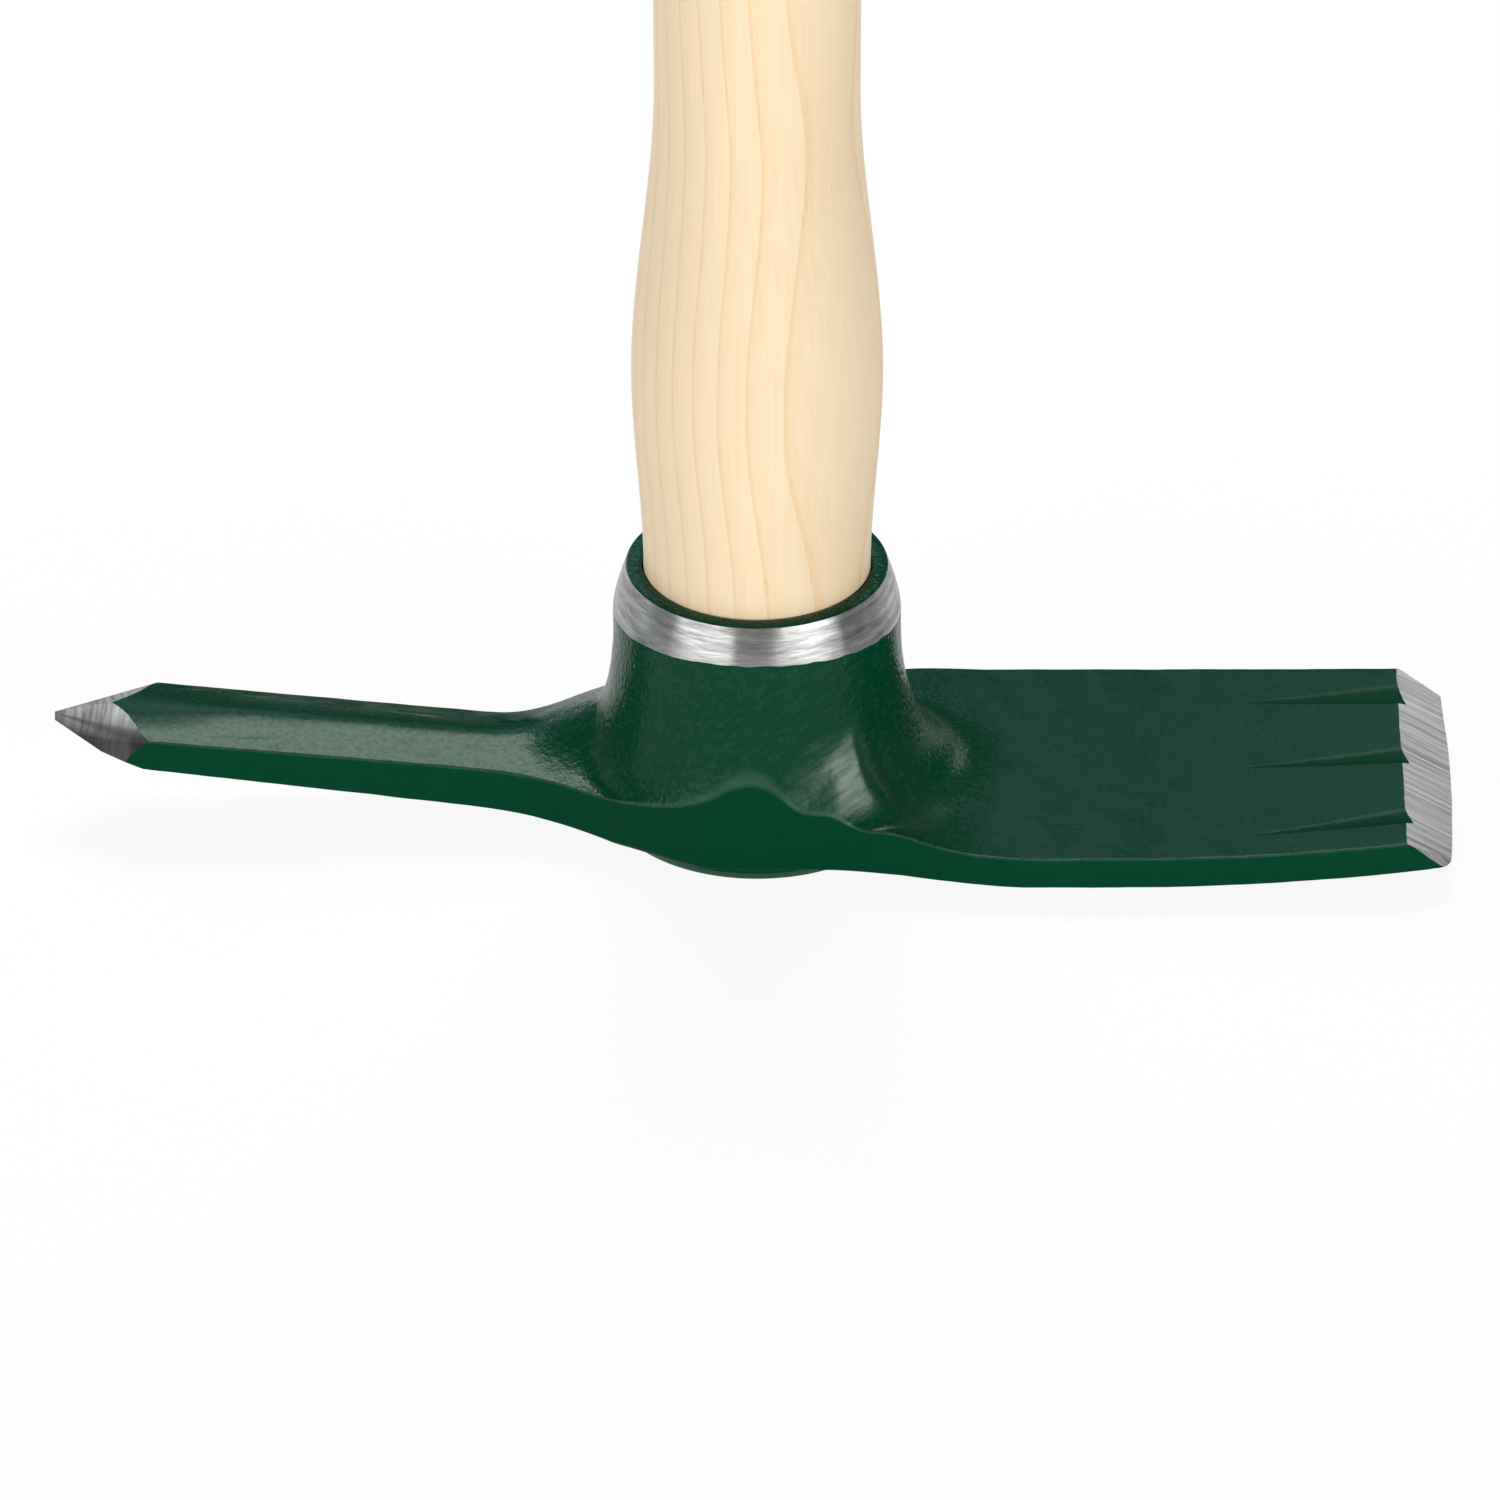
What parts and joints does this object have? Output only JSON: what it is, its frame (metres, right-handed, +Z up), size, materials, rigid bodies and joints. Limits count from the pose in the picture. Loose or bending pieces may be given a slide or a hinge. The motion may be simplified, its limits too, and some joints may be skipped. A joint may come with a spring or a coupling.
{
  "type": "hand mattock",
  "caption": "Hand mattock: a forged, painted head with a ground pick point on one side and a bevelled blade on the other, wedged on a turned ash handle.",
  "frame": {"origin": "centre of the eye's lower face, on the handle's axis", "axes": "+Z up along the handle, +X towards the blade, -X towards the pick, Y across the head"},
  "size_m": [0.2299, 0.062, 0.39],
  "materials": {
    "head_paint": "semi-gloss dark green paint over forged steel, bare ground steel at the point, collar band and bevel",
    "handle_ash": "pale turned ash, fine sanded, thin clear coat",
    "wedge_wood": "hardwood, sawn end grain",
    "ring_steel": "plain drawn steel"
  },
  "bodies": {
    "root": {"head": "head_paint", "handle": "handle_ash", "wooden_wedge": "wedge_wood", "ring_wedge": "ring_steel"}
  },
  "joints": []
}
